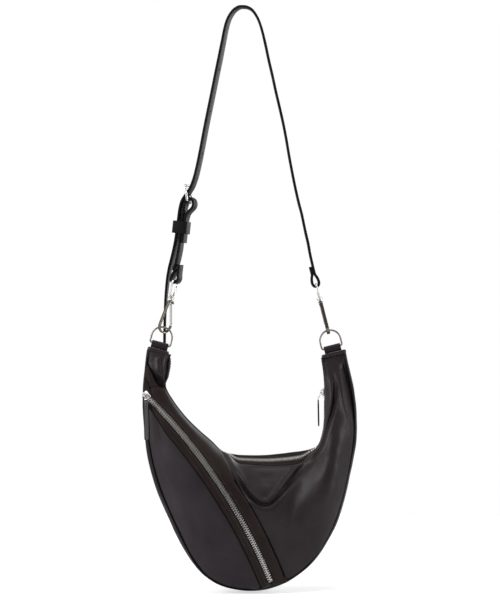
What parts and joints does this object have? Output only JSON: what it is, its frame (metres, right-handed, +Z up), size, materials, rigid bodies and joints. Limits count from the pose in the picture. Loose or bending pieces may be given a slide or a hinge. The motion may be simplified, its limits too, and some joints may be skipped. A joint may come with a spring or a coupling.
{
  "type": "crossbody bag",
  "caption": "Crescent-shaped soft crossbody bag with a slanting front zip, a zipped mouth, D-rings, swivel hooks and a buckled strap.",
  "frame": {"origin": "under the crown of the strap, on the face that rests on the shoulder", "axes": "+Z up along the hanging bag, -Y out of the bag's front, +X to the right of the front"},
  "size_m": [0.2862, 0.093, 0.7779],
  "materials": {
    "strap_leather": "smooth, satin",
    "bag_leather": "soft grain, satin",
    "facing_leather": "soft grain, matt",
    "lining_cloth": "woven",
    "tape_cloth": "woven tape",
    "polished_nickel": "polished",
    "teeth_metal": "bright"
  },
  "bodies": {
    "strap": {"long_strap": "strap_leather", "buckle_strap": "strap_leather", "left_hook_eye": "polished_nickel", "right_hook_eye": "polished_nickel"},
    "keeper": {"keeper": "strap_leather"},
    "buckle_frame": {"buckle_frame": "polished_nickel"},
    "buckle_prong": {"buckle_prong": "polished_nickel"},
    "left_hook": {"left_hook": "polished_nickel", "left_swivel_post": "polished_nickel"},
    "left_gate": {"left_hook_gate": "polished_nickel"},
    "right_hook": {"right_hook": "polished_nickel", "right_swivel_post": "polished_nickel"},
    "right_gate": {"right_hook_gate": "polished_nickel"},
    "left_ring": {"left_d_ring": "polished_nickel"},
    "right_ring": {"right_d_ring": "polished_nickel"},
    "front_slider": {"front_slider": "polished_nickel"},
    "front_pull": {"front_slider_link": "polished_nickel", "front_slider_pull": "strap_leather"},
    "mouth_slider": {"mouth_slider": "polished_nickel"},
    "mouth_pull": {"mouth_slider_link": "polished_nickel", "mouth_slider_pull": "strap_leather"},
    "bag": {"back_panel": "bag_leather", "front_panel_lower": "bag_leather", "front_panel_upper": "bag_leather", "front_tape_lower": "tape_cloth", "front_tape_upper": "tape_cloth", "front_zip_stop": "teeth_metal", "front_zip_teeth": "teeth_metal", "left_hem": "bag_leather", "left_tab": "bag_leather", "lining_back": "lining_cloth", "lining_front": "lining_cloth", "lower_facing": "facing_leather", "mouth_facing_back": "facing_leather", "mouth_facing_front": "facing_leather", "mouth_tape_back": "tape_cloth", "mouth_tape_front": "tape_cloth", "mouth_zip_teeth": "teeth_metal", "pocket_lining": "lining_cloth", "right_hem": "bag_leather", "right_tab": "bag_leather", "side_strip": "bag_leather", "upper_facing": "facing_leather"}
  },
  "joints": [
    {"name": "keeper_slide", "type": "slide", "parent": "strap", "child": "keeper", "axis": [0.1069, -0.0266, 0.9939], "range_m": [-0.01, 0.004]},
    {"name": "buckle_frame_turn", "type": "hinge", "parent": "strap", "child": "buckle_frame", "pos_m": [-0.0713, -0.00845, -0.2567], "axis": [0.2419, 0.9703, 0], "range_deg": [-2, 2]},
    {"name": "buckle_prong_turn", "type": "hinge", "parent": "buckle_frame", "child": "buckle_prong", "pos_m": [-0.0713, -0.00845, -0.2567], "axis": [0.2419, 0.9703, 0], "range_deg": [-1, 0]},
    {"name": "left_hook_swivel", "type": "hinge", "parent": "strap", "child": "left_hook", "pos_m": [-0.10622, 0.00026, -0.42827], "axis": [0.2326, -0.058, 0.9708], "range_deg": [-3, 12]},
    {"name": "left_gate_turn", "type": "hinge", "parent": "left_hook", "child": "left_gate", "pos_m": [-0.09654, -0.0009, -0.39337], "axis": [0.5661, -0.8036, -0.1837], "range_deg": [-18, 0], "stiffness_Nm_per_rad": 0.01, "springref_deg": 11.46},
    {"name": "right_hook_swivel", "type": "hinge", "parent": "strap", "child": "right_hook", "pos_m": [0.11235, 0, -0.42946], "axis": [-0.2488, 0, 0.9685], "range_deg": [-12, 12]},
    {"name": "right_gate_turn", "type": "hinge", "parent": "right_hook", "child": "right_gate", "pos_m": [0.10334, 0.0016, -0.39439], "axis": [0.9685, 0, 0.2488], "range_deg": [-18, 0], "stiffness_Nm_per_rad": 0.01, "springref_deg": 11.46},
    {"name": "bag_swing", "type": "hinge", "parent": "strap", "child": "bag", "pos_m": [-0.1052, 0, -0.424], "axis": [0.9998, 0, -0.0189], "range_deg": [-25, 6]},
    {"name": "left_ring_turn", "type": "hinge", "parent": "bag", "child": "left_ring", "pos_m": [-0.11103, 0, -0.44656], "axis": [0.9681, 0, -0.2504], "range_deg": [-1.5, 0.5]},
    {"name": "right_ring_turn", "type": "hinge", "parent": "bag", "child": "right_ring", "pos_m": [0.11783, 0, -0.45066], "axis": [0.9681, 0, 0.2504], "range_deg": [-3, 3]},
    {"name": "front_zip_run", "type": "hinge", "parent": "bag", "child": "front_slider", "pos_m": [-0.19497, 0.26296, -0.74343], "axis": [0.7053, 0.5402, 0.4591], "range_deg": [0, 44]},
    {"name": "front_pull_lift", "type": "hinge", "parent": "front_slider", "child": "front_pull", "pos_m": [-0.12803, -0.02272, -0.51265], "axis": [0.9184, -0.2358, 0.3177], "range_deg": [-22, 0]},
    {"name": "mouth_zip_run", "type": "slide", "parent": "bag", "child": "mouth_slider", "axis": [-0.015, 0, -0.9999], "range_m": [0, 0.018]},
    {"name": "mouth_pull_lift", "type": "hinge", "parent": "mouth_slider", "child": "mouth_pull", "pos_m": [0.10378, 0, -0.51014], "axis": [0, 1, 0], "range_deg": [0, 50]}
  ],
  "couplings": [
    {"joint": "front_pull_lift", "follows": "front_zip_run", "ratio": -0.5}
  ]
}
